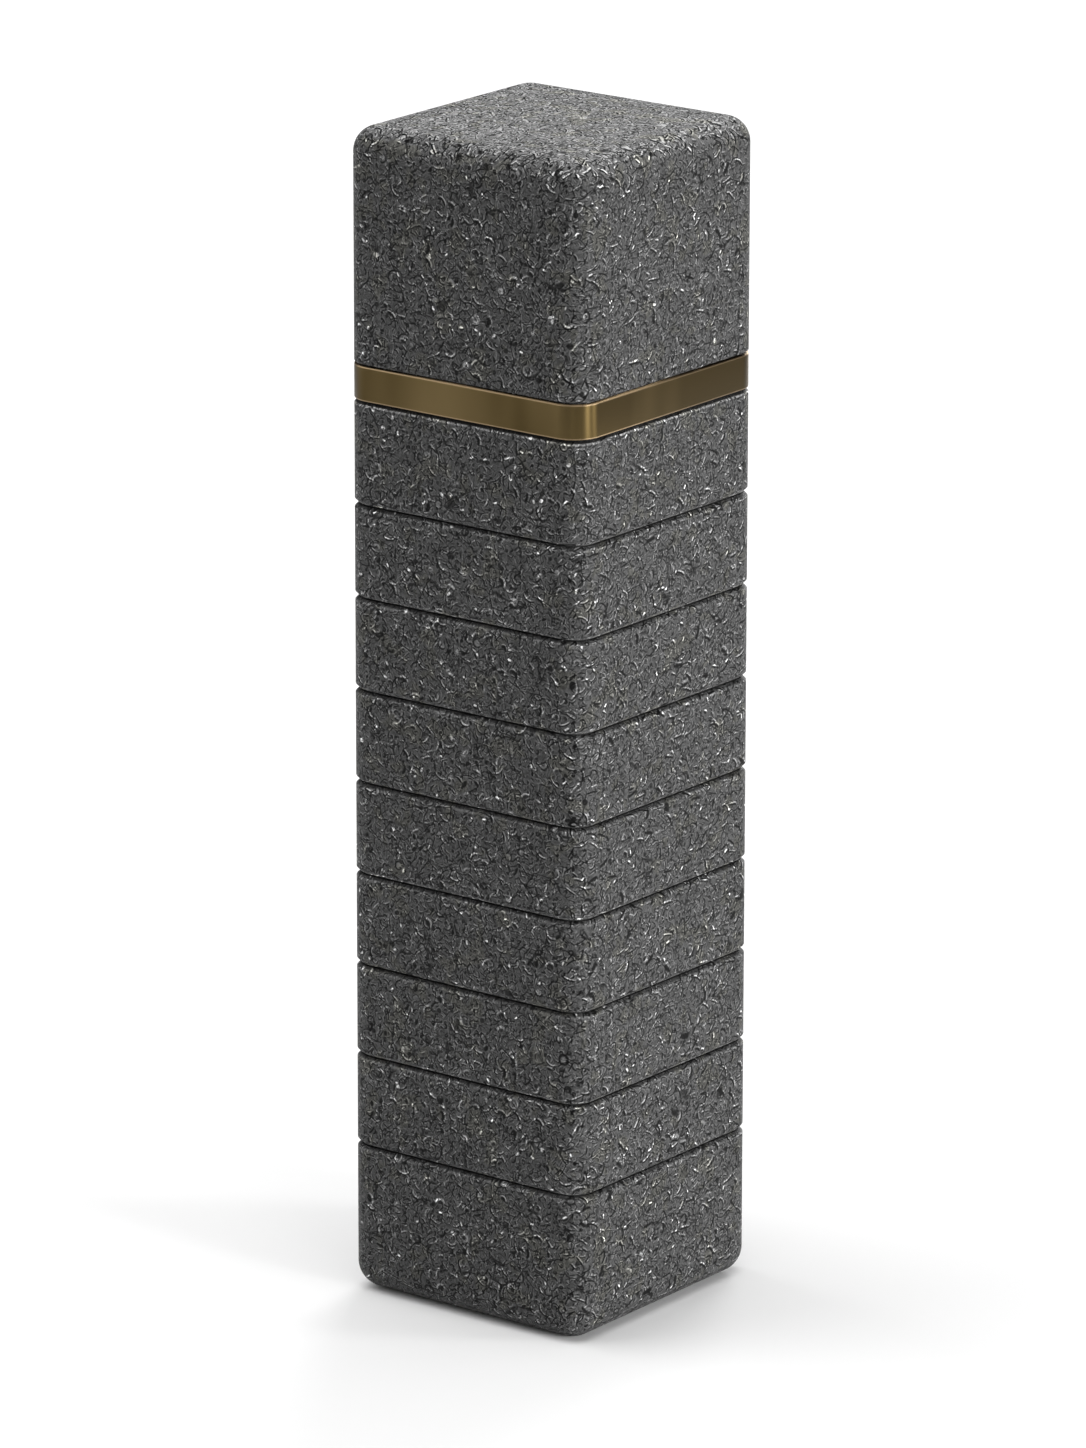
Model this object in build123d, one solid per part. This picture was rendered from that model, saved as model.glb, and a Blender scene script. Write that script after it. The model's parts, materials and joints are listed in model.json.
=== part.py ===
from build123d import *
import math
import os

# A square free-standing barrier post: ten precast concrete pieces stacked on a steel core,
# with a brass band under a head block that lifts off a folding lifting ring.
# Millimetres, +Z up, origin on the ground at the middle of the foot.

# concrete courses
side = 250.0  # width of every course
corner_radius = 24.5  # upright corners
joint_arris = 3.2  # bevel on the edges that meet at a joint
arris_round = 0.8  # softening of each bevel's two edges
course_height = 79.5  # each of the equal courses
course_count = 7
base_height = 131.25  # bottom course
base_round = 24.0  # round of the bottom course's lower edge
collar_height = 88.5  # course under the band, up to its ledge
collar_arris = 2.6  # bevel beside the ledge
head_height = 201.0
head_round = 22.0  # round of the head's top edge
head_arris = 1.0  # bevel of the head's lower edge

# pads between the courses
pad_thick = 1.5
pad_inset = 6.0  # from the faces of the courses to the pad's edge
pad_bore_gap = 3.0  # from the bore to the pad's inner edge

# steel core
tube_side = 90.0
tube_wall = 5.0
tube_round = 10.0  # outer upright corners of the tube
bore_gap = 2.0  # between the tube and the bore of every course
foot_rim = 11.0  # flat concrete that stands on the ground, between the chamber and the round
plate_thick = 12.0
plate_round = 8.0
mat_thick = 4.0
recess_gap = 2.0  # round the foot plate, in the chamber of the bottom course
weld_leg = 6.0
plug_thick = 25.0
tube_top_gap = 2.0  # from the tube's top to the clamp plate
spacer_inset = 5.0  # from the flat of the tube's side
spacer_height = 30.0
spacer_levels = 3

# anchor holes in the foot plate
anchor_inset = 20.0  # from the foot plate's edge to a hole's centre
anchor_hole_radius = 9.0
mat_hole_radius = 12.0
anchor_room = 45.0  # height of the chamber over the foot plate

# dowels
dowel_radius = 6.0
dowel_depth = 20.0  # in the lower course
dowel_reach = 17.0  # in the upper course
dowel_inset = 37.0  # from the faces of the courses to a dowel's centre
sleeve_wall = 1.1
sleeve_length = 20.0
slip_gap = 0.2  # between a dowel and its sleeve
hair_gap = 0.05  # round cast-in and threaded pieces

# brass band and its neck
band_height = 30.0
band_thick = 5.0
band_edge = 1.2
bond_thick = 0.5
bond_height = 18.0

# clamp plate and its screws
clamp_thick = 20.0
clamp_round = 12.0
clamp_edge = 1.5
screw_radius = 6.0
screw_inset = 13.0  # from the inside of the tube to a screw's centre
screw_head_radius = 9.0
screw_head_height = 12.0
screw_key = 10.0  # across the flats of the socket
screw_length = 32.0
head_sink = 13.0  # depth of the counterbores
sink_gap = 0.8
shank_gap = 0.5

# lifting ring
ring_bolt_radius = 8.0
ring_bolt_head_radius = 12.0
ring_bolt_head_height = 14.0
ring_bolt_key = 14.0
ring_washer_radius = 18.0
ring_washer_thick = 3.0
bush_radius = 13.0
bush_flange_radius = 21.0
bush_flange_thick = 3.0
swivel_length = 62.0
swivel_width = 40.0
swivel_height = 18.6
swivel_gap = 0.2
run_gap = 0.1
pivot_height = 12.5  # above the clamp plate
pivot_radius = 5.2
pivot_depth = 10.0
bail_rod = 5.5
bail_gap = 1.5  # from the swivel's end to the bail's eyes
bail_margin = 5.5  # from the bail's crown to the clamp plate's edge
bail_eye_radius = 8.0
bail_rest_gap = 0.3  # between the bail's crown and the clamp plate

# head block's cavity
head_wall = 49.0
cavity_gap = 1.0  # round the clamp plate
cavity_round = 14.0
cavity_clearance = 10.0  # over the upright bail
cavity_lead = 4.0

# places worked out from the sizes
plate_side = side - 2 * (base_round + foot_rim + recess_gap)
anchor_offset = plate_side / 2 - anchor_inset  # from the middle, along X and along Y
dowel_offset = side / 2 - dowel_inset
screw_offset = tube_side / 2 - tube_wall - screw_inset
plate_bottom = mat_thick
plate_top = plate_bottom + plate_thick
chamber_top = plate_top + anchor_room
base_top = base_height
course_pitch = course_height + pad_thick
courses_top = base_top + course_count * course_pitch
collar_bottom = courses_top + pad_thick
ledge = collar_bottom + collar_height
band_bottom = ledge + pad_thick
band_top = band_bottom + band_height
head_bottom = band_top + pad_thick
head_top = head_bottom + head_height
clamp_top = band_top + clamp_thick
tube_top = band_top - tube_top_gap
bore_side = tube_side + 2 * bore_gap
bore_round = tube_round + bore_gap
neck_side = side - 2 * (band_thick + bond_thick)
neck_round = corner_radius - band_thick - bond_thick
cavity_side = side - 2 * head_wall
clamp_side = cavity_side - 2 * cavity_gap
pivot_z = clamp_top + pivot_height
bail_reach = swivel_length / 2 + bail_gap + bail_rod  # from the middle to each arm's line
bail_crown = clamp_side / 2 - bail_margin - bail_rod  # from the pivot to the crown's line
bail_arm = bail_crown - bail_reach
bail_tilt = math.degrees(math.asin((pivot_height - bail_rod - bail_rest_gap) / bail_crown))
cavity_top = pivot_z + bail_crown + bail_rod + cavity_clearance
joint_levels = [base_top + i * course_pitch for i in range(course_count + 1)]

LOW = (Align.CENTER, Align.CENTER, Align.MIN)
HIGH = (Align.CENTER, Align.CENTER, Align.MAX)


def slab(width, radius, z_low, z_high):
    """A square plate with rounded upright corners, between two levels."""
    return Pos(0, 0, z_low) * extrude(RectangleRounded(width, width, radius), z_high - z_low)


def rod(radius, x, y, z_low, z_high):
    """An upright round bar, or the cutter for its hole."""
    return Pos(x, y, z_low) * Cylinder(radius, z_high - z_low, align=LOW)


def four(offset):
    """The four places at one offset from the middle, round the square."""
    return [(sx * offset, sy * offset) for sx in (1, -1) for sy in (1, -1)]


def loop_at(shape, level):
    """The outline edges of a shape that lie at one level."""
    return [e for e in shape.edges() if abs(e.center().Z - level) < 0.01 and e.bounding_box().size.Z < 0.01]


def bevel(shape, level, size, inward):
    """Bevels the outline at a level, then softens the bevel's two edges."""
    shape = chamfer(loop_at(shape, level), size)
    shape = fillet(loop_at(shape, level + inward * size), min(arris_round, size / 3))
    return fillet(loop_at(shape, level), min(arris_round, size / 3))


def dowel_places(joint):
    """The two dowels of a joint stand on one diagonal, which changes from joint to joint."""
    turn = 1 if joint % 2 == 0 else -1
    return [(dowel_offset, turn * dowel_offset), (-dowel_offset, -turn * dowel_offset)]


def upper_sockets(joint):
    """Cutters for the sleeves over a joint, in the course that stands on it."""
    z_low = joint_levels[joint] + pad_thick
    radius = dowel_radius + slip_gap + sleeve_wall + hair_gap
    return [rod(radius, x, y, z_low, z_low + sleeve_length) for x, y in dowel_places(joint)]


def lower_sockets(joint):
    """Cutters for the dowels under a joint, in the course below it."""
    z_high = joint_levels[joint]
    return [rod(dowel_radius + hair_gap, x, y, z_high - dowel_depth, z_high) for x, y in dowel_places(joint)]


def bore(z_low, z_high):
    """Cutter for the square passage round the steel tube."""
    return slab(bore_side, bore_round, z_low, z_high)


def make_base_course():
    """Bottom course: round lower edge, and a chamber for the foot plate and the anchors' nuts."""
    body = slab(side, corner_radius, 0, base_top)
    body = fillet(loop_at(body, 0), base_round)
    body = bevel(body, base_top, joint_arris, -1)
    body -= slab(plate_side + 2 * recess_gap, plate_round + recess_gap, 0, chamber_top)
    body -= bore(chamber_top, base_top)
    for socket in lower_sockets(0):
        body -= socket
    return body


def make_course(number):
    """One of the equal courses, numbered from the bottom."""
    z_low = joint_levels[number - 1] + pad_thick
    z_high = joint_levels[number]
    body = slab(side, corner_radius, z_low, z_high)
    body = bevel(body, z_low, joint_arris, 1)
    body = bevel(body, z_high, joint_arris, -1)
    body -= bore(z_low, z_high)
    for socket in upper_sockets(number - 1) + lower_sockets(number):
        body -= socket
    return body


def make_collar_course():
    """Course under the band, with the narrower neck that the band goes round."""
    body = slab(side, corner_radius, collar_bottom, ledge)
    body = bevel(body, collar_bottom, joint_arris, 1)
    body = bevel(body, ledge, collar_arris, -1)
    body += slab(neck_side, neck_round, ledge, band_top)
    body -= bore(collar_bottom, band_top)
    for socket in upper_sockets(course_count):
        body -= socket
    return body


def make_head_block():
    """Head: round top edge and a cavity from below that fits over the clamp plate."""
    body = slab(side, corner_radius, head_bottom, head_top)
    body = fillet(loop_at(body, head_top), head_round)
    body = bevel(body, head_bottom, head_arris, 1)
    cavity = slab(cavity_side, cavity_round, head_bottom, cavity_top)
    cavity = fillet(loop_at(cavity, cavity_top), cavity_lead)
    body -= cavity
    mouth = [e for e in loop_at(body, head_bottom) if abs(e.center().X) < cavity_side / 2 + 1
             and abs(e.center().Y) < cavity_side / 2 + 1]
    return chamfer(mouth, cavity_lead)


def make_joint_pad(joint):
    """Rubber pad in a joint, with holes for the dowels."""
    z_low = joint_levels[joint]
    pad = slab(side - 2 * pad_inset, corner_radius - pad_inset, z_low, z_low + pad_thick)
    pad -= slab(bore_side + 2 * pad_bore_gap, bore_round + pad_bore_gap, z_low, z_low + pad_thick)
    for x, y in dowel_places(joint):
        pad -= rod(dowel_radius + slip_gap + sleeve_wall, x, y, z_low, z_low + pad_thick)
    return pad


def make_course_dowels():
    """Round steel pins that line up each course with the one below."""
    pins = []
    for joint, level in enumerate(joint_levels):
        for x, y in dowel_places(joint):
            pin = rod(dowel_radius, x, y, level - dowel_depth, level + pad_thick + dowel_reach)
            pins.append(chamfer(pin.edges().filter_by(GeomType.CIRCLE), 1.0))
    return Compound(pins)


def make_dowel_sleeves():
    """Plastic sleeves cast into the underside of each course, round the dowels."""
    sleeves = []
    for joint, level in enumerate(joint_levels):
        z_low = level + pad_thick
        for x, y in dowel_places(joint):
            outer = rod(dowel_radius + slip_gap + sleeve_wall, x, y, z_low, z_low + sleeve_length)
            inner = rod(dowel_radius + slip_gap, x, y, z_low, z_low + sleeve_length - sleeve_wall)
            sleeves.append(outer - inner)
    return Compound(sleeves)


def make_bearing_mat():
    """Rubber mat under the foot plate, which the post stands on."""
    mat = slab(plate_side, plate_round, 0, mat_thick)
    for x, y in four(anchor_offset):
        mat -= rod(mat_hole_radius, x, y, 0, mat_thick)
    return mat


def make_base_plate():
    """Steel foot plate with four anchor holes."""
    plate = slab(plate_side, plate_round, plate_bottom, plate_top)
    for x, y in four(anchor_offset):
        plate -= rod(anchor_hole_radius, x, y, plate_bottom, plate_top)
    return plate


def make_core_tube():
    """Square steel tube that runs up through every course."""
    inner = slab(tube_side - 2 * tube_wall, tube_round - tube_wall, plate_top, tube_top)
    return slab(tube_side, tube_round, plate_top, tube_top) - inner


def make_tube_weld():
    """Fillet weld round the foot of the tube."""
    outline = RectangleRounded(tube_side + 2 * weld_leg, tube_side + 2 * weld_leg, tube_round + weld_leg)
    bead = Pos(0, 0, plate_top) * extrude(outline, weld_leg, taper=44.9)
    return bead - slab(tube_side, tube_round, plate_top, plate_top + weld_leg)


def make_plug_plate():
    """Thick plate welded inside the top of the tube, tapped for the screws and the ring's bolt."""
    plug_side = tube_side - 2 * tube_wall - 2 * hair_gap
    plug = slab(plug_side, tube_round - tube_wall, tube_top - plug_thick, tube_top)
    plug -= rod(ring_bolt_radius + hair_gap, 0, 0, tube_top - plug_thick, tube_top)
    for x, y in four(screw_offset):
        plug -= rod(screw_radius + hair_gap, x, y, tube_top - plug_thick, tube_top)
    return plug


def make_tube_spacers():
    """Plastic strips that centre the courses on the tube."""
    strips = []
    thick = bore_gap - 2 * hair_gap
    width = tube_side - 2 * (tube_round + spacer_inset)
    middle = tube_side / 2 + bore_gap / 2
    for level in range(spacer_levels):
        z = chamber_top + spacer_height
        z += level * (band_bottom - 2 * spacer_height - z) / (spacer_levels - 1)
        for sign in (1, -1):
            strips.append(Pos(sign * middle, 0, z) * Box(thick, width, spacer_height, align=LOW))
            strips.append(Pos(0, sign * middle, z) * Box(width, thick, spacer_height, align=LOW))
    return Compound(strips)


def ring_of(outer_side, outer_round, width, z_low, z_high):
    """A square ring with rounded corners, of one wall width all round."""
    inner = slab(outer_side - 2 * width, outer_round - width, z_low, z_high)
    return slab(outer_side, outer_round, z_low, z_high) - inner


def make_band_seat():
    """Thin rubber strip on the ledge, under the band."""
    seat_side = side - 2 * collar_arris
    return ring_of(seat_side, corner_radius - collar_arris, (seat_side - neck_side) / 2, ledge, band_bottom)


def make_brass_band():
    """Brass band round the neck, flush with the courses."""
    band = slab(side, corner_radius, band_bottom, band_top)
    band = fillet(loop_at(band, band_bottom) + loop_at(band, band_top), band_edge)
    return band - slab(side - 2 * band_thick, corner_radius - band_thick, band_bottom, band_top)


def make_band_bond():
    """Bed of adhesive between the neck and the band."""
    z_low = (band_bottom + band_top - bond_height) / 2
    width = bond_thick - hair_gap
    outer = neck_side + 2 * width
    return ring_of(outer, neck_round + width, width, z_low, z_low + bond_height)


def make_head_pad():
    """Rubber pad on top of the neck, which the head rests on."""
    inner_side = cavity_side + 2 * cavity_lead
    inner = slab(inner_side, cavity_round + cavity_lead, band_top, head_bottom)
    return slab(side - 2 * pad_inset, corner_radius - pad_inset, band_top, head_bottom) - inner


def make_clamp_plate():
    """Steel plate on the neck that holds the stack down and centres the head."""
    plate = slab(clamp_side, clamp_round, band_top, clamp_top)
    plate = chamfer(loop_at(plate, clamp_top), clamp_edge)
    plate -= rod(ring_bolt_radius + shank_gap, 0, 0, band_top, clamp_top)
    for x, y in four(screw_offset):
        plate -= rod(screw_radius + shank_gap, x, y, band_top, clamp_top)
        plate -= rod(screw_head_radius + sink_gap, x, y, clamp_top - head_sink, clamp_top)
    return plate


def socket_screw(shank_radius, shank_length, head_radius, head_height, key, x, y, seat):
    """A socket-head screw, its head standing on the level called seat."""
    screw = rod(shank_radius, x, y, seat - shank_length, seat)
    head = rod(head_radius, x, y, seat, seat + head_height)
    head = chamfer(head.edges().group_by(Axis.Z)[-1], 1.0)
    key_hole = extrude(RegularPolygon(key / 2, 6, major_radius=False), head_height / 2)
    return screw + head - Pos(x, y, seat + head_height / 2) * key_hole


def make_clamp_screws():
    """The four screws that pull the clamp plate down to the plug plate."""
    seat = clamp_top - head_sink
    return Compound([socket_screw(screw_radius, screw_length, screw_head_radius, screw_head_height,
                                  screw_key, x, y, seat) for x, y in four(screw_offset)])


def make_ring_bush():
    """Flanged bush that the swivel turns on."""
    top = clamp_top + bush_flange_thick + swivel_height + 2 * swivel_gap
    bush = rod(bush_radius, 0, 0, clamp_top, top)
    bush += rod(bush_flange_radius, 0, 0, clamp_top, clamp_top + bush_flange_thick)
    return bush - rod(ring_bolt_radius + shank_gap, 0, 0, clamp_top, top)


def make_ring_swivel():
    """Forged block that turns on the bush and holds the bail's two pivots."""
    low = clamp_top + bush_flange_thick + swivel_gap
    outline = RectangleRounded(swivel_length, swivel_width, 9.0)
    body = Pos(0, 0, low) * extrude(outline, swivel_height)
    body = fillet(loop_at(body, low + swivel_height), 3.0)
    body -= rod(bush_radius + run_gap, 0, 0, low, low + swivel_height)
    for sign in (1, -1):
        hole = Cylinder(pivot_radius + run_gap, pivot_depth, align=HIGH)
        body -= Pos(sign * swivel_length / 2, 0, pivot_z) * Rot(0, sign * 90, 0) * hole
    return body


def make_ring_bail():
    """Round bail with inward pivots, lying with its crown on the clamp plate."""
    path = Line((bail_reach, 0, 0), (bail_reach, -bail_arm, 0))
    path += ThreePointArc((bail_reach, -bail_arm, 0), (0, -bail_crown, 0), (-bail_reach, -bail_arm, 0))
    path += Line((-bail_reach, -bail_arm, 0), (-bail_reach, 0, 0))
    bail = sweep(Plane(origin=(bail_reach, 0, 0), z_dir=(0, -1, 0)) * Circle(bail_rod), path)
    for sign in (1, -1):
        inner_end = swivel_length / 2 - pivot_depth + 2 * run_gap
        pin_length = bail_reach - inner_end
        pin = Pos(sign * inner_end, 0, 0) * Rot(0, sign * 90, 0) * Cylinder(pivot_radius, pin_length, align=LOW)
        eye = Rot(0, 90, 0) * Cylinder(bail_eye_radius, 2 * bail_rod)
        eye = fillet(eye.edges().filter_by(GeomType.CIRCLE), 1.5)
        bail += pin
        bail += Pos(sign * bail_reach, 0, 0) * eye
    return Pos(0, 0, pivot_z) * Rot(bail_tilt, 0, 0) * bail


def make_ring_washer():
    """Washer over the swivel, on the end of the bush."""
    low = clamp_top + bush_flange_thick + swivel_height + 2 * swivel_gap
    washer = rod(ring_washer_radius, 0, 0, low, low + ring_washer_thick)
    washer = chamfer(washer.edges().group_by(Axis.Z)[-1], 0.6)
    return washer - rod(ring_bolt_radius + shank_gap, 0, 0, low, low + ring_washer_thick)


def make_ring_bolt():
    """Bolt that holds the lifting ring down, through the clamp plate into the plug plate."""
    seat = clamp_top + bush_flange_thick + swivel_height + 2 * swivel_gap + ring_washer_thick
    length = seat - (tube_top - plug_thick)
    return socket_screw(ring_bolt_radius, length, ring_bolt_head_radius, ring_bolt_head_height,
                        ring_bolt_key, 0, 0, seat)


parts = {
    "bearing_mat": make_bearing_mat(),
    "base_plate": make_base_plate(),
    "core_tube": make_core_tube(),
    "tube_weld": make_tube_weld(),
    "plug_plate": make_plug_plate(),
    "tube_spacers": make_tube_spacers(),
    "base_course": make_base_course(),
    "collar_course": make_collar_course(),
    "course_dowels": make_course_dowels(),
    "dowel_sleeves": make_dowel_sleeves(),
    "band_seat": make_band_seat(),
    "brass_band": make_brass_band(),
    "band_bond": make_band_bond(),
    "head_pad": make_head_pad(),
    "clamp_plate": make_clamp_plate(),
    "clamp_screws": make_clamp_screws(),
    "ring_bush": make_ring_bush(),
    "ring_swivel": make_ring_swivel(),
    "ring_bail": make_ring_bail(),
    "ring_washer": make_ring_washer(),
    "ring_bolt": make_ring_bolt(),
    "head_block": make_head_block(),
}
for number in range(1, course_count + 1):
    parts[f"course_{number}"] = make_course(number)
for joint in range(course_count + 1):
    parts[f"joint_pad_{joint + 1}"] = make_joint_pad(joint)

os.makedirs("parts", exist_ok=True)
for name, shape in parts.items():
    export_step(shape, f"parts/{name}.step")

print("levels: ledge", ledge, "band", band_bottom, band_top, "head", head_bottom, head_top)
print("clamp plate top", clamp_top, "cavity top", cavity_top)
print("pivot height", pivot_z, "bail tilt", round(bail_tilt, 4), "turn", round(180 + 2 * bail_tilt, 3))
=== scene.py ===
import bpy
import json
import math
from mathutils import Matrix, Vector

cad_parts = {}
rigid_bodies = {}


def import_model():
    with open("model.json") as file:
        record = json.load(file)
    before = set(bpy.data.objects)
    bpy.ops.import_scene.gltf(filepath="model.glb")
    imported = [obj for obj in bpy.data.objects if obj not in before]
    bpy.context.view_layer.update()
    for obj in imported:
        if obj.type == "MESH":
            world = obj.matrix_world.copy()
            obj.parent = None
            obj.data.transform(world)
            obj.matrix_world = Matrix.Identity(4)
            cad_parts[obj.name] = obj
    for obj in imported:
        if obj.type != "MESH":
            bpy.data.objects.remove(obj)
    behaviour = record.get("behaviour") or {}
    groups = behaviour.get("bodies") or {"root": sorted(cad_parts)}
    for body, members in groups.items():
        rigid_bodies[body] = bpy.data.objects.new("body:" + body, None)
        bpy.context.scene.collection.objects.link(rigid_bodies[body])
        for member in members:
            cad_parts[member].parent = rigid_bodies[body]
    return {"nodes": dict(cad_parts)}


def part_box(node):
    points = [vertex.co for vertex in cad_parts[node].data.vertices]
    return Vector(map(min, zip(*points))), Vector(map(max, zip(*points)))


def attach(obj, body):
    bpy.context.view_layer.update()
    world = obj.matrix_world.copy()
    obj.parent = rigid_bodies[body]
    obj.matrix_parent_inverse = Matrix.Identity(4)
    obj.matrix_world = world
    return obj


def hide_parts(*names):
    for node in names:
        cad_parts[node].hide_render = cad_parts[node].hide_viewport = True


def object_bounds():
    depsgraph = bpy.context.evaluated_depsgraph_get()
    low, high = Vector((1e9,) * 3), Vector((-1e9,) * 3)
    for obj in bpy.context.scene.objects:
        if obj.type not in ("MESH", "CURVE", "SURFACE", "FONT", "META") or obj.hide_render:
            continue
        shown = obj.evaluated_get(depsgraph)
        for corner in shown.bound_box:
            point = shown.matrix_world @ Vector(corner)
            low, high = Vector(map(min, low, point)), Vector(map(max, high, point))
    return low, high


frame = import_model()
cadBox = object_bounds()
scene = bpy.context.scene
nodes = frame["nodes"]
print("frame loaded:", len(nodes), "nodes")

postLow, postHigh = Vector(cadBox[0]), Vector(cadBox[1])
postMiddle = (postLow + postHigh) / 2

cameraSettings = {
    "azimuth": 37.457,  # degrees round the post from its front face
    "elevation": 16.336,
    "distance": 7.542,  # metres from the post's middle
    "lens": 221.15,
    "sensor": 36.0,
    "farthest": 100.0,  # metres that the camera sees
    "panRight": 0.056,  # small turns of the camera away from the middle
    "panUp": 0.092,
    "roll": 0.072,
}


def backwards(azimuth, elevation):
    # the way from the post to a camera or lamp
    a, e = math.radians(azimuth), math.radians(elevation)
    return Vector((math.sin(a) * math.cos(e), -math.cos(a) * math.cos(e), math.sin(e)))


def addCamera(s):
    cameraData = bpy.data.cameras.new("camera")
    cameraData.lens = s["lens"]
    cameraData.sensor_width = s["sensor"]
    cameraData.clip_end = s["farthest"]
    camera = bpy.data.objects.new("camera", cameraData)
    scene.collection.objects.link(camera)
    back = backwards(s["azimuth"] + s["panRight"], s["elevation"] + s["panUp"])
    right = Vector((0, 0, 1)).cross(back).normalized()
    up = back.cross(right)
    roll = math.radians(s["roll"])
    rolledRight = right * math.cos(roll) + up * math.sin(roll)
    rolledUp = up * math.cos(roll) - right * math.sin(roll)
    place = postMiddle + backwards(s["azimuth"], s["elevation"]) * s["distance"]
    turn = Matrix((rolledRight, rolledUp, back)).transposed().to_4x4()
    camera.matrix_world = Matrix.Translation(place) @ turn
    scene.camera = camera


addCamera(cameraSettings)
print("camera placed")

# lamps far away, like big softboxes: direction, strength and apparent size
lightSettings = {
    "sideLamp": {"azimuth": 90.0, "elevation": 10.0, "strength": 2.55, "spread": 14.0},
    "keyLamp": {"azimuth": 120.0, "elevation": 10.0, "strength": 1.72, "spread": 14.0},
    "frontLamp": {"azimuth": 60.0, "elevation": 35.0, "strength": 0.16, "spread": 14.0},
    "cornerLamp": {"azimuth": 32.0, "elevation": 12.0, "strength": 0.1, "spread": 5.0},
    "leftLamp": {"azimuth": -65.0, "elevation": 38.0, "strength": 1.5, "spread": 60.0},
    "backLamp": {"azimuth": 200.0, "elevation": 20.0, "strength": 2.0, "spread": 30.0},
    "topLamp": {"azimuth": 0.0, "elevation": 89.0, "strength": 2.05, "spread": 60.0},
}
roomLight = 0.11  # brightness of the room round the post


def addLamp(name, s):
    lamp = bpy.data.lights.new(name, "SUN")
    lamp.energy = s["strength"]
    lamp.angle = math.radians(s["spread"])
    light = bpy.data.objects.new(name, lamp)
    scene.collection.objects.link(light)
    toLamp = backwards(s["azimuth"], s["elevation"])
    light.rotation_euler = toLamp.to_track_quat("Z", "Y").to_euler()


for lightName, values in lightSettings.items():
    addLamp(lightName, values)
world = bpy.data.worlds.new("room")
world.use_nodes = True
world.node_tree.nodes["Background"].inputs["Color"].default_value = (1, 1, 1, 1)
world.node_tree.nodes["Background"].inputs["Strength"].default_value = roomLight
scene.world = world
scene.view_settings.view_transform = "Standard"
scene.view_settings.look = "None"
print("lights placed")

floorSettings = {"size": 40.0, "drop": 0.0002, "colour": (0.765, 0.765, 0.765), "roughness": 0.9}


def addFloor(s):
    bpy.ops.object.select_all(action="DESELECT")
    bpy.ops.mesh.primitive_plane_add(size=s["size"], location=(0, 0, postLow.z - s["drop"]))
    floor = bpy.context.object
    floor.name = "floor"
    material = bpy.data.materials.new("paleFloor")
    material.use_nodes = True
    shader = material.node_tree.nodes["Principled BSDF"]
    shader.inputs["Base Color"].default_value = (*s["colour"], 1)
    shader.inputs["Roughness"].default_value = s["roughness"]
    shader.inputs["Specular IOR Level"].default_value = 0.0
    floor.data.materials.append(material)


addFloor(floorSettings)
print("floor placed")


# a link is either another node's socket or a plain value, and a ramp is a list of (position, level)

def startMaterial(name):
    material = bpy.data.materials.new(name)
    material.use_nodes = True
    return material, material.node_tree, material.node_tree.nodes["Principled BSDF"]


def addNode(tree, kind, links=None, **settings):
    item = tree.nodes.new("ShaderNode" + kind)
    for key, value in settings.items():
        setattr(item, key, value)
    for key, value in (links or {}).items():
        if isinstance(value, bpy.types.NodeSocket):
            tree.links.new(value, item.inputs[key])
        else:
            item.inputs[key].default_value = value
    return item


def stretched(tree, place, scale):
    return addNode(tree, "Mapping", {"Vector": place, "Scale": scale}).outputs["Vector"]


def objectMillimetres(tree):
    place = addNode(tree, "TexCoord").outputs["Object"]
    return stretched(tree, place, (1000, 1000, 1000))


def heightOf(tree, place):
    return addNode(tree, "SeparateXYZ", {0: place}).outputs[2]


def calculate(tree, operation, *numbers):
    return addNode(tree, "Math", dict(enumerate(numbers)), operation=operation).outputs[0]


def product(tree, first, second):
    return calculate(tree, "MULTIPLY", first, second)


def toned(tree, total, pattern, strength):
    # the total with a pattern added to it at a strength
    return calculate(tree, "MULTIPLY_ADD", pattern, strength, total)


def spanned(tree, value, low, high):
    # 0 at low and 1 at high
    return addNode(tree, "MapRange", {0: value, 1: low, 2: high, 3: 0.0, 4: 1.0}).outputs[0]


def combine(tree, operation, first, second, output=0):
    return addNode(tree, "VectorMath", {0: first, 1: second}, operation=operation).outputs[output]


def scaled(tree, vector, amount):
    return addNode(tree, "VectorMath", {0: vector, "Scale": amount}, operation="SCALE").outputs[0]


def mixColours(tree, share, first, second):
    ends = [end if isinstance(end, bpy.types.NodeSocket) else (*end, 1) for end in (first, second)]
    return addNode(tree, "Mix", {0: share, 6: ends[0], 7: ends[1]}, data_type="RGBA").outputs[2]


def noise(tree, vector, scale, detail=1.0, roughness=0.5, output="Fac"):
    links = {"Vector": vector, "Scale": scale, "Detail": detail, "Roughness": roughness}
    return addNode(tree, "TexNoise", links).outputs[output]


def warped(tree, vector, scale, amount):
    colour = noise(tree, vector, scale, output="Color")
    centred = combine(tree, "SUBTRACT", colour, (0.5, 0.5, 0.5))
    return combine(tree, "ADD", vector, scaled(tree, centred, amount))


def ramp(tree, value, stops):
    item = addNode(tree, "ValToRGB", {"Fac": value})
    band = item.color_ramp
    while len(band.elements) > 1:
        band.elements.remove(band.elements[-1])
    for number, (position, level) in enumerate(stops):
        element = band.elements[0] if number == 0 else band.elements.new(position)
        element.position = position
        element.color = (level, level, level, 1)
    return item.outputs["Color"]


def zone(tree, height, level, reach, stops):
    # a ramp over the heights from level - reach to level + reach
    return ramp(tree, spanned(tree, height, level - reach, level + reach), stops)


def addBump(tree, shader, height, strength, distance):
    bump = addNode(tree, "Bump", {"Height": height, "Strength": strength, "Distance": distance})
    tree.links.new(bump.outputs["Normal"], shader.inputs["Normal"])


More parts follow.
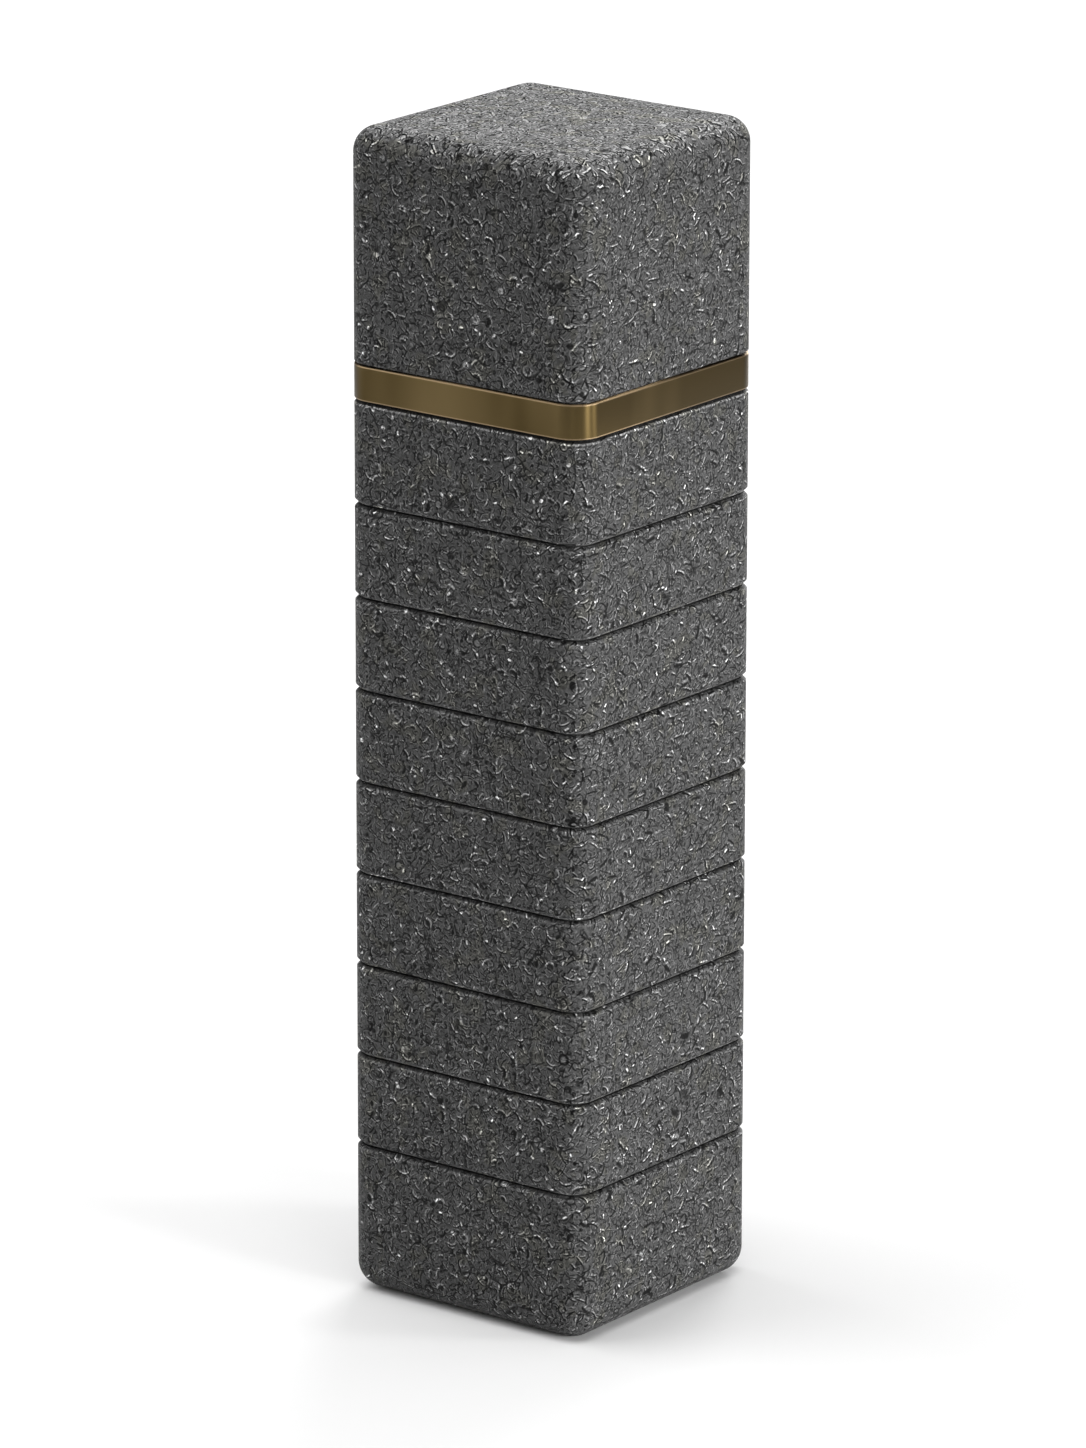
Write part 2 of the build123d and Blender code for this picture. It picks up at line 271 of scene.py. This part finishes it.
chipProfile = {
    "randomness": 0.9,
    "core": 0.7,  # share of a chip's radius that has its full tone
    # tones across a chip, from one side to the other
    "white": [(0.0, 0), (0.48, 0), (0.56, 1), (0.68, 1), (0.76, 0), (1.0, 0)],
    "black": [(0.0, 0), (0.2, 0), (0.28, 1), (0.42, 1), (0.5, 0), (1.0, 0)],
}


def cells(tree, place, size, seed):
    # for each cell of a pattern: the way from its middle, and three random numbers
    moved = combine(tree, "ADD", place, seed)
    links = {"Vector": moved, "Scale": 1 / size, "Randomness": chipProfile["randomness"]}
    pattern = addNode(tree, "TexVoronoi", links)
    return combine(tree, "SUBTRACT", moved, pattern.outputs["Position"]), pattern.outputs["Color"]


def chips(tree, place, s):
    # short curved cuts through thin chips, light on one side and dark on the other
    away, random = cells(tree, place, s["cell"], s["seed"])
    parts = addNode(tree, "SeparateColor", {0: random})
    facing = combine(tree, "SUBTRACT", random, (0.5, 0.5, 0.5))
    facing = addNode(tree, "VectorMath", {0: facing}, operation="NORMALIZE").outputs[0]
    reach = addNode(tree, "VectorMath", {0: away}, operation="LENGTH").outputs["Value"]
    bend = product(tree, calculate(tree, "SUBTRACT", parts.outputs[1], 0.5), s["bend"])
    flat = combine(tree, "DOT_PRODUCT", away, facing, "Value")
    across = calculate(tree, "MULTIPLY_ADD", product(tree, reach, reach), bend, flat)
    across = spanned(tree, across, -2 * s["width"], 2 * s["width"])
    inside = spanned(tree, reach, s["length"] / 2, s["length"] / 2 * chipProfile["core"])
    tones = []
    for tone, number in (("white", 2), ("black", 0)):
        stroke = product(tree, ramp(tree, across, chipProfile[tone]), inside)
        tones.append(product(tree, stroke, ramp(tree, parts.outputs[number], s[tone])))
    return tones


def outlines(tree, place, s):
    # dark edges round the larger stones with light beside them, seen here and there
    moved = warped(tree, combine(tree, "ADD", place, s["seed"]), s["warpScale"], s["warp"])
    edge = addNode(tree, "TexVoronoi", {"Vector": moved, "Scale": 1 / s["cell"]}, feature="DISTANCE_TO_EDGE")
    near = spanned(tree, edge.outputs["Distance"], 0.0, 4 * s["width"] / s["cell"])
    seen = addNode(tree, "SeparateColor", {0: noise(tree, place, s["patches"], output="Color")})
    dark = product(tree, ramp(tree, near, s["darkEdge"]), ramp(tree, seen.outputs[0], s["darkSeen"]))
    light = product(tree, ramp(tree, near, s["lightEdge"]), ramp(tree, seen.outputs[1], s["lightSeen"]))
    return light, dark


# lengths are in millimetres, and light, dark and strengths are powers of e over the plain colour
concreteLook = {
    "colour": (0.0553, 0.0553, 0.0554),
    "roughness": 0.5,
    "specular": 0.09,
    # white and black say how strongly a chip shows from its random number
    "chips": (
        {"cell": 12.0, "length": 5.4, "width": 1.6, "bend": 0.1, "seed": (3, 17, 29), "light": 2.4, "dark": 2.75,
         "white": [(0.0, 0.0), (0.38, 0.0), (0.48, 0.9), (1.0, 1.0)], "black": [(0.0, 0.3), (1.0, 1.0)]},
        {"cell": 13.0, "length": 13.5, "width": 1.15, "bend": 0.12, "seed": (41, 7, 11), "light": 1.68, "dark": 3.0,
         "white": [(0.0, 0.0), (0.4, 0.3), (0.7, 0.9), (1.0, 1.0)], "black": [(0.0, 0.0), (0.4, 0.5), (1.0, 1.0)]},
        {"cell": 9.5, "length": 10.0, "width": 1.1, "bend": 0.2, "seed": (17, 77, 3), "light": 1.34, "dark": 2.75,
         "white": [(0.0, 0.0), (0.4, 0.3), (0.8, 0.9), (1.0, 1.0)], "black": [(0.0, 0.0), (0.3, 0.4), (1.0, 1.0)]},
        {"cell": 6.5, "length": 7.0, "width": 1.05, "bend": 0.5, "seed": (13, 57, 5), "light": 1.12, "dark": 2.5,
         "white": [(0.0, 0.1), (0.8, 0.6), (1.0, 1.0)], "black": [(0.0, 0.2), (1.0, 1.0)]},
        {"cell": 5.2, "length": 5.8, "width": 0.95, "bend": 0.6, "seed": (91, 33, 65), "light": 0.95, "dark": 1.88,
         "white": [(0.0, 0.3), (0.8, 0.7), (1.0, 1.0)], "black": [(0.0, 0.3), (1.0, 1.0)]},
        {"cell": 4.4, "length": 5.0, "width": 0.9, "bend": 0.6, "seed": (23, 5, 71), "light": 0.84, "dark": 1.5,
         "white": [(0.0, 0.3), (1.0, 1.0)], "black": [(0.0, 0.3), (1.0, 1.0)]},
    ),
    "outlines": {
        "cell": 17.0, "warpScale": 0.07, "warp": 8.0, "width": 0.6, "seed": (5, 9, 31), "light": 0.78, "dark": 1.38,
        "darkEdge": [(0.0, 1), (0.15, 1), (0.3, 0), (1.0, 0)],
        "lightEdge": [(0.0, 0), (0.25, 0), (0.38, 1), (0.52, 1), (0.65, 0), (1.0, 0)],
        "patches": 0.09,  # scale of the patches in which they show
        "darkSeen": [(0.0, 0), (0.46, 0), (0.6, 1), (1.0, 1)],
        "lightSeen": [(0.0, 0), (0.5, 0), (0.62, 1), (1.0, 1)],
    },
    "swirl": {"scale": 0.05, "detail": 1.5, "warpScale": 0.15, "warp": 6.0, "lines": 15.0, "strength": 0.25},
    "grain": {"scale": 0.8, "roughness": 0.6, "strength": 1.2},
    "mottle": {"scale": 0.03, "roughness": 0.5, "strength": 0.12},
    "joints": {
        "first": 131.25, "pitch": 81.0, "lowest": 110.0, "highest": 720.0, "reach": 8.0,
        # light, dark and dust are the strengths of that painted highlight, painted shade and painted light at the
        # joints
        "light": 0.5, "dark": 0.6, "dust": 0.8,
        "paintedHighlightBand": [(0.0, 0), (0.22, 0), (0.27, 1), (0.345, 1), (0.385, 0), (1.0, 0)],
        "paintedShadeBand": [(0.0, 0), (0.375, 0), (0.42, 1), (0.53, 1), (0.56, 0), (1.0, 0)],
        "paintedBevelLightBand": [(0.0, 0), (0.56, 0), (0.59, 1), (0.66, 1), (0.74, 0.3), (0.79, 0), (1.0, 0)],
    },
    "ledge": {
        # light and dark are the strengths of the painted highlight and painted shade at the ledge under the band
        "level": 788.25, "reach": 8.0, "light": 1.1, "dark": 1.6,
        "paintedHighlightBand": [(0.0, 0), (0.27, 0), (0.32, 1), (0.38, 1), (0.42, 0), (1.0, 0)],
        "paintedShadeBand": [(0.0, 0), (0.38, 0), (0.43, 1), (1.0, 1)],
    },
    # the top is rougher, and it is painted lighter with its stones in stronger contrast: painted light for the light
    # that falls on the top
    "top": {"low": 1004.0, "high": 1021.0, "contrast": 1.35, "lift": 0.9, "roughness": 0.9,
            "most": 1.1, "mostBelow": 3.0},  # limits of the tones, on the top and below it
    # patches where the sand is warmer
    "warm": {"scale": 0.06, "tint": (1.04, 1.03, 0.95), "seen": [(0.0, 0), (0.58, 0), (0.64, 1), (1.0, 1)]},
}


def addTexture(tree, place, total, s):
    # swirled lines, then fine grain and slow mottling
    swirl = s["swirl"]
    field = noise(tree, warped(tree, place, swirl["warpScale"], swirl["warp"]), swirl["scale"], swirl["detail"])
    waves = calculate(tree, "SINE", product(tree, field, swirl["lines"] * 2 * math.pi))
    total = toned(tree, total, waves, swirl["strength"])
    for look in (s["grain"], s["mottle"]):
        field = noise(tree, place, look["scale"], 2.0, look["roughness"])
        total = toned(tree, total, calculate(tree, "SUBTRACT", field, 0.5), look["strength"])
    return total


def paintJointShading(tree, height, total, s):
    # at each joint a painted highlight on the lower block's top edge, painted shade in the joint itself, and painted
    # light on the upper block's bevel above it
    steps = calculate(tree, "DIVIDE", calculate(tree, "SUBTRACT", height, s["first"]), s["pitch"])
    apart = calculate(tree, "SUBTRACT", steps, calculate(tree, "ROUND", steps))
    nearest = product(tree, apart, s["pitch"])
    jointed = product(tree, calculate(tree, "GREATER_THAN", height, s["lowest"]),
                      calculate(tree, "LESS_THAN", height, s["highest"]))
    # the dust strength sets painted light on the bevel above the joint, not dust
    for band, strength in (("paintedHighlightBand", s["light"]), ("paintedShadeBand", -s["dark"]), ("paintedBevelLightBand", s["dust"])):
        line = zone(tree, nearest, 0.0, s["reach"], s[band])
        total = toned(tree, total, product(tree, line, jointed), strength)
    return total


def paintLedgeShading(tree, height, total, s):
    # a painted highlight on the ledge's edge, and painted shade in the gap over it
    light = zone(tree, height, s["level"], s["reach"], s["paintedHighlightBand"])
    dark = zone(tree, height, s["level"], s["reach"], s["paintedShadeBand"])
    below = calculate(tree, "LESS_THAN", height, s["level"] + s["reach"])
    total = toned(tree, total, light, s["light"])
    return toned(tree, total, product(tree, dark, below), -s["dark"])


def paintTopLight(tree, topShare, total, s):
    # painted light on the top: stronger contrast and a lift in tone, under a cap
    contrast = calculate(tree, "MULTIPLY_ADD", topShare, s["contrast"] - 1, 1.0)
    brightest = calculate(tree, "MULTIPLY_ADD", topShare, s["most"] - s["mostBelow"], s["mostBelow"])
    total = calculate(tree, "MINIMUM", product(tree, total, contrast), brightest)
    return toned(tree, total, topShare, s["lift"])


def concreteMaterial(s):
    material, tree, shader = startMaterial("honedConcrete")
    place = objectMillimetres(tree)
    height = heightOf(tree, place)
    topShare = spanned(tree, height, s["top"]["low"], s["top"]["high"])
    total = 0.0
    for layer in s["chips"]:
        light, dark = chips(tree, place, layer)
        total = toned(tree, toned(tree, total, light, layer["light"]), dark, -layer["dark"])
    light, dark = outlines(tree, place, s["outlines"])
    total = toned(tree, toned(tree, total, light, s["outlines"]["light"]), dark, -s["outlines"]["dark"])
    total = addTexture(tree, place, total, s)
    total = paintJointShading(tree, height, total, s["joints"])
    total = paintLedgeShading(tree, height, total, s["ledge"])
    total = paintTopLight(tree, topShare, total, s["top"])
    warm = ramp(tree, noise(tree, place, s["warm"]["scale"]), s["warm"]["seen"])
    warmColour = [part * tint for part, tint in zip(s["colour"], s["warm"]["tint"])]
    base = mixColours(tree, warm, s["colour"], warmColour)
    tree.links.new(scaled(tree, base, calculate(tree, "EXPONENT", total)), shader.inputs["Base Color"])
    rough = calculate(tree, "MULTIPLY_ADD", topShare, s["top"]["roughness"] - s["roughness"], s["roughness"])
    tree.links.new(rough, shader.inputs["Roughness"])
    shader.inputs["Specular IOR Level"].default_value = s["specular"]
    return material


brassLook = {
    "colour": (0.082, 0.057, 0.022),
    "reflectionColour": (0.15, 0.108, 0.048),  # a lighter colour painted in patches as painted reflection
    "cloudStretch": (1.0, 1.0, 0.25),
    "cloudScale": 0.011,
    "cloudSeen": [(0.0, 0), (0.42, 0), (0.62, 1), (1.0, 1)],
    "brushStretch": (0.02, 0.02, 4.0),  # brush lines run along the band, so they are squeezed in height
    "brushing": 0.3,
    "roughness": 0.4,
    "unevenness": 0.2,
    "anisotropy": 0.9,
    "anisotropyTurn": 0.25,
    # colour and strength of the painted highlights on the band's two edges
    "edgeHighlightTint": (0.45, 0.33, 0.2),
    "edgeHighlightStrength": 0.6,
    "edgeReach": 4.0,
    "edgeLow": 789.75,  # heights of the band's two edges, in millimetres
    "edgeHigh": 819.75,
    "edgeLowBand": [(0.0, 1), (0.62, 1), (0.7, 0), (1.0, 0)],
    "edgeHighBand": [(0.0, 0), (0.3, 0), (0.38, 1), (1.0, 1)],
}


def brassMaterial(s):
    material, tree, shader = startMaterial("darkBrass")
    place = objectMillimetres(tree)
    brush = noise(tree, stretched(tree, place, s["brushStretch"]), 1.0, 4.0, 0.7)
    # slow patches of lighter colour are painted reflection, and the fine brush lines are the metal's own grain
    cloud = noise(tree, stretched(tree, place, s["cloudStretch"]), s["cloudScale"], 2.0)
    reflectionPatches = ramp(tree, cloud, s["cloudSeen"])
    brushAndReflection = toned(tree, reflectionPatches, calculate(tree, "SUBTRACT", brush, 0.5), s["brushing"])
    colour = mixColours(tree, brushAndReflection, s["colour"], s["reflectionColour"])
    # painted highlights along the band's two edges
    height = heightOf(tree, place)
    edges = calculate(tree, "ADD", zone(tree, height, s["edgeLow"], s["edgeReach"], s["edgeLowBand"]),
                      zone(tree, height, s["edgeHigh"], s["edgeReach"], s["edgeHighBand"]))
    colour = mixColours(tree, product(tree, edges, s["edgeHighlightStrength"]), colour, s["edgeHighlightTint"])
    tree.links.new(colour, shader.inputs["Base Color"])
    rough = calculate(tree, "MULTIPLY_ADD", brush, s["unevenness"], s["roughness"])
    tree.links.new(rough, shader.inputs["Roughness"])
    shader.inputs["Metallic"].default_value = 1.0
    shader.inputs["Anisotropic"].default_value = s["anisotropy"]
    shader.inputs["Anisotropic Rotation"].default_value = s["anisotropyTurn"]
    around = addNode(tree, "Tangent", direction_type="RADIAL", axis="Z")
    tree.links.new(around.outputs[0], shader.inputs["Tangent"])
    return material


steelLook = {
    "galvanised": {"colour": (0.36, 0.37, 0.38), "second": (0.5, 0.51, 0.52), "patch": 7.0,
                   "roughness": 0.42, "scratch": 0.1},
    "bright": {"colour": (0.5, 0.49, 0.47), "second": (0.6, 0.59, 0.57), "patch": 25.0,
               "roughness": 0.25, "scratch": 0.25},
    "zinc": {"colour": (0.48, 0.47, 0.44), "second": (0.56, 0.53, 0.42), "patch": 9.0,
             "roughness": 0.3, "scratch": 0.12},
}
steelSurface = {
    "warpScale": 0.2, "warp": 3.0, "grimeScale": 0.05, "grime": 0.5, "dullest": 0.72,
    "scratchStretch": (0.15, 2.5, 2.5), "patchRoughness": 0.08, "bumpScale": 0.6, "bump": 0.15, "bumpDepth": 0.0002,
}


def steelMaterial(name, s):
    # crystals or patches of two tones, fine scratches, uneven sheen and a faint bump
    material, tree, shader = startMaterial(name)
    surface = steelSurface
    place = objectMillimetres(tree)
    moved = warped(tree, place, surface["warpScale"], surface["warp"])
    crystals = addNode(tree, "TexVoronoi", {"Vector": moved, "Scale": 1 / s["patch"]})
    tone = addNode(tree, "SeparateColor", {0: crystals.outputs["Color"]}).outputs[0]
    grime = noise(tree, place, surface["grimeScale"], 3.0, 0.6)
    dulled = calculate(tree, "MULTIPLY_ADD", grime, surface["grime"], surface["dullest"])
    colour = scaled(tree, mixColours(tree, tone, s["colour"], s["second"]), dulled)
    tree.links.new(colour, shader.inputs["Base Color"])
    scratched = noise(tree, stretched(tree, place, surface["scratchStretch"]), 1.0, 3.0)
    rough = calculate(tree, "MULTIPLY_ADD", scratched, s["scratch"], s["roughness"] - s["scratch"] / 2)
    tree.links.new(toned(tree, rough, tone, surface["patchRoughness"]), shader.inputs["Roughness"])
    shader.inputs["Metallic"].default_value = 1.0
    addBump(tree, shader, noise(tree, place, surface["bumpScale"], 3.0), surface["bump"], surface["bumpDepth"])
    return material


softLook = {
    "rubber": {"colour": (0.004, 0.004, 0.004), "dust": (0.014, 0.014, 0.013),
               "roughness": 0.8, "specular": 0.15, "grain": 1.2},
    # a lighter copy of the rubber for the joint pads: painted light in the dark joint gaps
    "jointRubberLit": {"colour": (0.05, 0.05, 0.05), "dust": (0.09, 0.09, 0.088),
                    "roughness": 0.8, "specular": 0.15, "grain": 1.2},
    "spacerPlastic": {"colour": (0.03, 0.03, 0.032), "dust": (0.06, 0.06, 0.06),
                      "roughness": 0.35, "specular": 0.4, "grain": 0.8},
    "sleevePlastic": {"colour": (0.42, 0.42, 0.4), "dust": (0.3, 0.29, 0.27),
                      "roughness": 0.3, "specular": 0.4, "grain": 0.8},
    "adhesive": {"colour": (0.09, 0.09, 0.088), "dust": (0.05, 0.05, 0.05),
                 "roughness": 0.5, "specular": 0.3, "grain": 0.4},
}
softSurface = {
    "dustScale": 0.07, "dustSeen": [(0.0, 0), (0.4, 0), (0.7, 1), (1.0, 1)],
    "unevenness": 0.15, "bump": 0.3, "bumpDepth": 0.0003,
}


def softMaterial(name, s):
    # a dull moulded surface with dust and a fine grain
    material, tree, shader = startMaterial(name)
    surface = softSurface
    place = objectMillimetres(tree)
    dusty = ramp(tree, noise(tree, place, surface["dustScale"], 3.0, 0.6), surface["dustSeen"])
    tree.links.new(mixColours(tree, dusty, s["colour"], s["dust"]), shader.inputs["Base Color"])
    grain = noise(tree, place, s["grain"], 2.0)
    rough = calculate(tree, "MULTIPLY_ADD", grain, surface["unevenness"], s["roughness"])
    tree.links.new(rough, shader.inputs["Roughness"])
    shader.inputs["Specular IOR Level"].default_value = s["specular"]
    addBump(tree, shader, grain, surface["bump"], surface["bumpDepth"])
    return material


paintLook = {
    "colour": (0.62, 0.3, 0.025),
    "faded": (0.55, 0.3, 0.06),
    "fadeScale": 0.08,
    "steel": (0.3, 0.28, 0.26),
    "spotScale": 0.16,
    "spotWarpScale": 0.5,
    "spotWarp": 2.0,
    "worn": 0.63,  # higher leaves more paint
    "chipEdge": 0.015,
    "roughness": 0.28,
    "unevenness": 0.2,
    "thickness": 0.6,  # of the paint, against its grain
    "grainScale": 0.4,
    "bump": 0.4,
    "bumpDepth": 0.0004,
}


def paintMaterial(s):
    # ring paint, rubbed through to dull steel in small spots
    material, tree, shader = startMaterial("ringPaint")
    place = objectMillimetres(tree)
    painted = mixColours(tree, noise(tree, place, s["fadeScale"], 2.0), s["colour"], s["faded"])
    spots = noise(tree, warped(tree, place, s["spotWarpScale"], s["spotWarp"]), s["spotScale"], 4.0, 0.65)
    bare = ramp(tree, spots, [(0.0, 0), (s["worn"], 0), (s["worn"] + s["chipEdge"], 1), (1.0, 1)])
    tree.links.new(mixColours(tree, bare, painted, s["steel"]), shader.inputs["Base Color"])
    tree.links.new(bare, shader.inputs["Metallic"])
    rough = calculate(tree, "MULTIPLY_ADD", spots, s["unevenness"], s["roughness"])
    tree.links.new(rough, shader.inputs["Roughness"])
    height = toned(tree, noise(tree, place, s["grainScale"], 2.0), bare, -s["thickness"])
    addBump(tree, shader, height, s["bump"], s["bumpDepth"])
    return material


concrete = concreteMaterial(concreteLook)
brass = brassMaterial(brassLook)
paint = paintMaterial(paintLook)
steels = {kind: steelMaterial(kind + "Steel", look) for kind, look in steelLook.items()}
softs = {kind: softMaterial(kind, look) for kind, look in softLook.items()}
nodeMaterials = {
    concrete: ["base_course", "collar_course", "head_block"] + [f"course_{n}" for n in range(1, 8)],
    brass: ["brass_band"],
    softs["rubber"]: ["bearing_mat", "band_seat", "head_pad"],
    softs["jointRubberLit"]: [f"joint_pad_{n}" for n in range(1, 9)],
    steels["galvanised"]: ["base_plate", "core_tube", "plug_plate", "clamp_plate", "tube_weld"],
    steels["bright"]: ["course_dowels", "ring_bush"],
    steels["zinc"]: ["clamp_screws", "ring_washer", "ring_bolt"],
    softs["spacerPlastic"]: ["tube_spacers"],
    softs["sleevePlastic"]: ["dowel_sleeves"],
    softs["adhesive"]: ["band_bond"],
    paint: ["ring_swivel", "ring_bail"],
}
for material, names in nodeMaterials.items():
    for name in names:
        nodes[name].data.materials.clear()
        nodes[name].data.materials.append(material)
print("materials made:", len(nodeMaterials))


def makeActive(piece):
    bpy.ops.object.select_all(action="DESELECT")
    piece.select_set(True)
    bpy.context.view_layer.objects.active = piece


def startBlock(name, low, high):
    bpy.ops.object.select_all(action="DESELECT")
    bpy.ops.mesh.primitive_cube_add(size=1, location=(low + high) / 2)
    piece = bpy.context.object
    piece.name = piece.data.name = name
    piece.scale = high - low
    makeActive(piece)
    bpy.ops.object.transform_apply(location=True, rotation=True, scale=True)
    return piece


def pick(piece, kind, test):
    # selects the faces or edges that pass the test, and stays in edit mode
    makeActive(piece)
    bpy.ops.object.mode_set(mode="EDIT")
    bpy.ops.mesh.select_mode(type=kind)
    bpy.ops.mesh.select_all(action="DESELECT")
    bpy.ops.object.mode_set(mode="OBJECT")
    mesh = piece.data
    if kind == "FACE":
        for face in mesh.polygons:
            face.select = test(face.center, face.normal)
    else:
        for edge in mesh.edges:
            a, b = (mesh.vertices[v].co for v in edge.vertices)
            edge.select = test((a + b) / 2, (b - a).normalized())
    bpy.ops.object.mode_set(mode="EDIT")


def bevelEdges(piece, test, width, segments):
    pick(piece, "EDGE", test)
    bpy.ops.mesh.bevel(offset=width, segments=segments, affect="EDGES")
    bpy.ops.object.mode_set(mode="OBJECT")


def upright(middle, way):
    return abs(way.z) > 0.9


def addModifier(piece, kind, **settings):
    makeActive(piece)
    modifier = piece.modifiers.new(kind, kind)
    for key, value in settings.items():
        setattr(modifier, key, value)
    bpy.ops.object.modifier_apply(modifier=modifier.name)


def softenEdges(piece, width, segments, angle):
    addModifier(piece, "BEVEL", width=width, segments=segments, limit_method="ANGLE", angle_limit=math.radians(angle))


def carveRod(piece, sides, radius, depth, middle, tilt=0):
    bpy.ops.object.select_all(action="DESELECT")
    bpy.ops.mesh.primitive_cylinder_add(vertices=sides, radius=radius, depth=depth, location=middle,
                                        rotation=(0, math.radians(tilt), 0))
    cutter = bpy.context.object
    addModifier(piece, "BOOLEAN", operation="DIFFERENCE", solver="EXACT", object=cutter)
    bpy.data.objects.remove(cutter)


finishSettings = {"mergeDistance": 0.000005, "smoothAngle": 35}


def finish(piece, material, body, replaced, s):
    makeActive(piece)
    bpy.ops.object.mode_set(mode="EDIT")
    bpy.ops.mesh.select_all(action="SELECT")
    bpy.ops.mesh.remove_doubles(threshold=s["mergeDistance"])
    bpy.ops.mesh.normals_make_consistent(inside=False)
    bpy.ops.object.mode_set(mode="OBJECT")
    bpy.ops.object.shade_smooth_by_angle(angle=math.radians(s["smoothAngle"]))
    piece.data.materials.clear()
    piece.data.materials.append(material)
    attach(piece, body)
    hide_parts(*replaced)
    print("modelled:", piece.name, len(piece.data.polygons), "faces")


bandShape = {"corner": 0.0245, "cornerSegments": 18, "wall": 0.005, "edge": 0.0012, "edgeSegments": 3, "edgeAngle": 60}


def modelBand(s):
    # a block with round corners, opened at both ends and given its wall
    low, high = (Vector(c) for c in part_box("brass_band"))
    piece = startBlock("brassBand", low, high)
    bevelEdges(piece, upright, s["corner"], s["cornerSegments"])
    pick(piece, "FACE", upright)
    bpy.ops.mesh.delete(type="FACE")
    bpy.ops.object.mode_set(mode="OBJECT")
    addModifier(piece, "SOLIDIFY", thickness=s["wall"], offset=-1.0, use_even_offset=True)
    softenEdges(piece, s["edge"], s["edgeSegments"], s["edgeAngle"])
    finish(piece, brass, "post", ["brass_band"], finishSettings)


modelBand(bandShape)

swivelShape = {
    "corner": 0.009, "cornerSegments": 8,
    "crown": 0.003, "crownSegments": 4, "crownReach": 0.00001,
    "bush": 0.0131, "bushSides": 64,
    "pivot": 0.0053, "pivotSides": 40, "pivotDepth": 0.01, "pivotHeight": 0.85225,
    "edge": 0.0007, "edgeSegments": 2, "edgeAngle": 50,
}


def modelSwivel(s):
    # a block with round corners and a soft crown, bored for its bush and for the bail's pins
    low, high = (Vector(c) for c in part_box("ring_swivel"))
    piece = startBlock("ringSwivel", low, high)
    bevelEdges(piece, upright, s["corner"], s["cornerSegments"])
    bevelEdges(piece, lambda middle, way: middle.z > high.z - s["crownReach"], s["crown"], s["crownSegments"])
    carveRod(piece, s["bushSides"], s["bush"], 2 * (high.z - low.z), (0, 0, (low.z + high.z) / 2))
    for sign in (1, -1):
        carveRod(piece, s["pivotSides"], s["pivot"], 2 * s["pivotDepth"], (sign * high.x, 0, s["pivotHeight"]), 90)
    softenEdges(piece, s["edge"], s["edgeSegments"], s["edgeAngle"])
    finish(piece, paint, "swivel", ["ring_swivel"], finishSettings)


modelSwivel(swivelShape)

for item in list(scene.objects):
    item.select_set(False)
